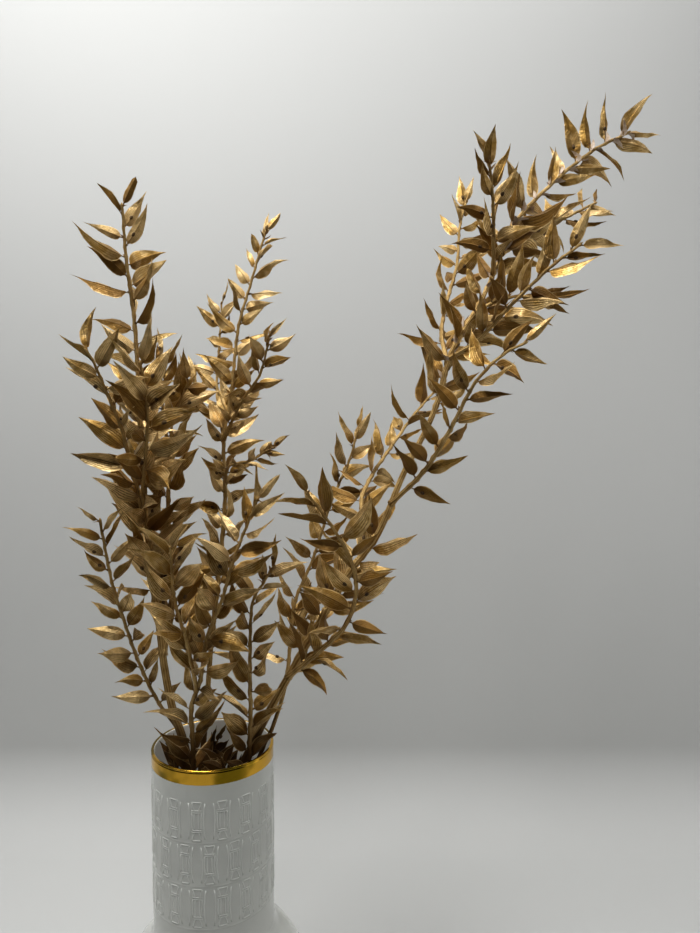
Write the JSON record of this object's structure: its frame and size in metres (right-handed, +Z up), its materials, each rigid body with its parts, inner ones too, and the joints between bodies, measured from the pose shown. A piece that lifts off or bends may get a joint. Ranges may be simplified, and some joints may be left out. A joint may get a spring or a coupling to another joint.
{
  "type": "dried ruscus stems in a vase",
  "caption": "Tall branched dried ruscus stems with pointed folded leaves, gold coloured, fanning out of a white tall-necked round-bodied ceramic vase with a gold rim.",
  "frame": {"origin": "centre of the vase's flat foot, on the surface that it stands on", "axes": "+Z up along the vase's axis, +X to the viewer's right towards the long leaning stem, +Y away from the viewer"},
  "size_m": [0.4071, 0.1642, 0.6928],
  "materials": {
    "white_glaze": "gloss",
    "gold_paint": "satin"
  },
  "bodies": {
    "root": {"vase": "white_glaze", "stem_left_low": "gold_paint", "stem_left_tall": "gold_paint", "stem_centre_tall": "gold_paint", "stem_centre_low": "gold_paint", "stem_centre_short": "gold_paint", "stem_right_tall": "gold_paint", "stem_right_low": "gold_paint"}
  },
  "joints": []
}
